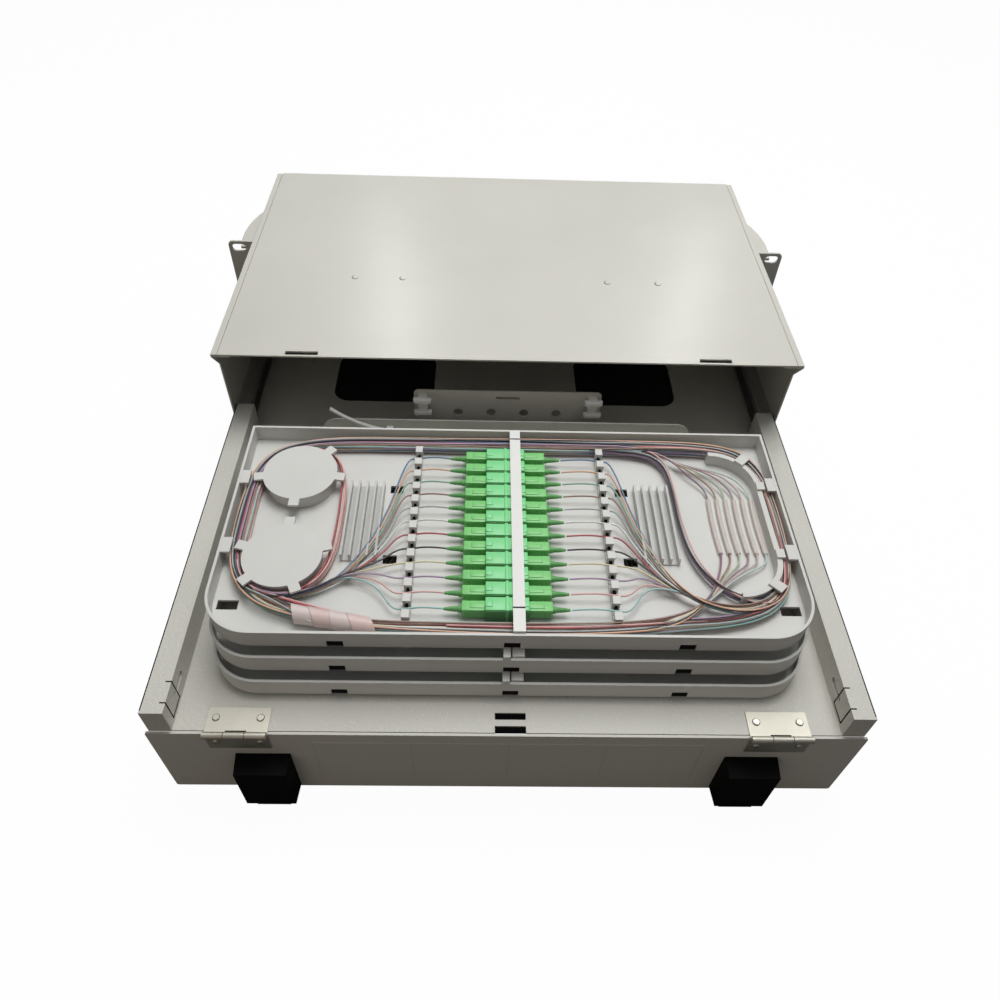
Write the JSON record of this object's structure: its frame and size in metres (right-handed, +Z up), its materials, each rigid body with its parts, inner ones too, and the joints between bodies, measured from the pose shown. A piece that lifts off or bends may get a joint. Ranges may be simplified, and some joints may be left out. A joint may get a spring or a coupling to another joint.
{
  "type": "optical distribution frame",
  "caption": "Rack-mount fibre distribution drawer: sheet-metal housing, telescopic pull-out drawer, drop-down latched door and hinged splice trays with couplers.",
  "frame": {"origin": "centre of the rack-ear slot pattern, on the plane where the ears meet the rack", "axes": "+X to the right seen from the front, +Y to the back, +Z up"},
  "size_m": [0.4826, 0.5524, 0.1649],
  "materials": {
    "housing_paint": "light warm grey textured powder coat",
    "zinc_screw": "bright zinc plate",
    "slide_zinc": "zinc-plated rolled steel",
    "hinge_plate": "pale nickel plate",
    "black_rubber": "matt moulded rubber",
    "white_plastic": "white moulded nylon",
    "tray_plastic": "light grey moulded plastic",
    "adapter_green": "light green moulded plastic",
    "plug_green": "green moulded plastic",
    "clear_plastic": "milky moulded plastic",
    "fibre_coat": "coloured fibre coating",
    "label_stock": "bare label stock",
    "latch_black": "black moulded plastic",
    "spring_steel": "spring wire"
  },
  "bodies": {
    "housing": {"housing_base": "housing_paint", "housing_side_left": "housing_paint", "housing_side_right": "housing_paint", "housing_rear": "housing_paint", "top_cover": "housing_paint", "cover_screws": "zinc_screw", "rack_ear_left": "housing_paint", "rack_ear_right": "housing_paint", "ear_screws": "zinc_screw", "cable_grommets": "black_rubber", "slide_outer_left": "slide_zinc", "slide_outer_right": "slide_zinc"},
    "slide_middle": {"slide_middle_left": "slide_zinc", "slide_middle_right": "slide_zinc"},
    "drawer": {"drawer_pan": "housing_paint", "slide_inner_left": "slide_zinc", "slide_inner_right": "slide_zinc", "hinge_leaves_floor": "hinge_plate", "hinge_pins": "hinge_plate", "hinge_rivets_floor": "hinge_plate", "cable_bracket": "housing_paint", "guide_plate": "housing_paint", "cable_clips": "white_plastic", "cable_tie": "white_plastic", "tray_bottom": "tray_plastic", "fibre_guides_bottom": "tray_plastic", "adapters_bottom": "adapter_green", "plugs_bottom": "plug_green", "clamp_bar_bottom": "white_plastic", "splice_holders_bottom": "clear_plastic", "splice_sleeves_bottom": "clear_plastic", "fibres_bottom": "fibre_coat", "pivot_arms_bottom": "tray_plastic"},
    "tray_middle": {"tray_middle": "tray_plastic", "fibre_guides_middle": "tray_plastic", "adapters_middle": "adapter_green", "plugs_middle": "plug_green", "clamp_bar_middle": "white_plastic", "splice_holders_middle": "clear_plastic", "splice_sleeves_middle": "clear_plastic", "fibres_middle": "fibre_coat", "pivot_arms_middle": "tray_plastic"},
    "tray_top": {"tray_top": "tray_plastic", "fibre_guides_top": "tray_plastic", "adapters_top": "adapter_green", "plugs_top": "plug_green", "clamp_bar_top": "white_plastic", "splice_holders_top": "clear_plastic", "splice_sleeves_top": "clear_plastic", "fibres_top": "fibre_coat"},
    "door": {"door_panel": "housing_paint", "label_card": "label_stock", "hinge_leaves_door": "hinge_plate", "hinge_rivets_door": "hinge_plate", "latch_body_left": "latch_black", "latch_body_right": "latch_black", "latch_spring_left": "spring_steel", "latch_spring_right": "spring_steel"},
    "latch_left": {"latch_bolt_left": "latch_black"},
    "latch_right": {"latch_bolt_right": "latch_black"}
  },
  "joints": [
    {"name": "drawer_slide", "type": "slide", "parent": "housing", "child": "drawer", "axis": [0, -1, 0], "range_m": [-0.253, 0]},
    {"name": "middle_slide", "type": "slide", "parent": "housing", "child": "slide_middle", "axis": [0, -1, 0], "range_m": [-0.1265, 0]},
    {"name": "tray_middle_hinge", "type": "hinge", "parent": "drawer", "child": "tray_middle", "pos_m": [0, -0.2008, -0.0176], "axis": [-1, 0, 0], "range_deg": [0, 45]},
    {"name": "tray_top_hinge", "type": "hinge", "parent": "tray_middle", "child": "tray_top", "pos_m": [0, -0.1948, 0.0004], "axis": [-1, 0, 0], "range_deg": [0, 45]},
    {"name": "door_hinge", "type": "hinge", "parent": "drawer", "child": "door", "pos_m": [0, -0.4152, -0.0386], "axis": [-1, 0, 0], "range_deg": [0, 180]},
    {"name": "latch_left_slide", "type": "slide", "parent": "door", "child": "latch_left", "axis": [0, 0, 1], "range_m": [0, 0.004], "stiffness_N_per_m": 300, "springref_m": -0.002, "deforming": ["latch_spring_left"]},
    {"name": "latch_right_slide", "type": "slide", "parent": "door", "child": "latch_right", "axis": [0, 0, 1], "range_m": [0, 0.004], "stiffness_N_per_m": 300, "springref_m": -0.002, "deforming": ["latch_spring_right"]}
  ],
  "couplings": [
    {"joint": "middle_slide", "follows": "drawer_slide", "ratio": 0.5}
  ]
}
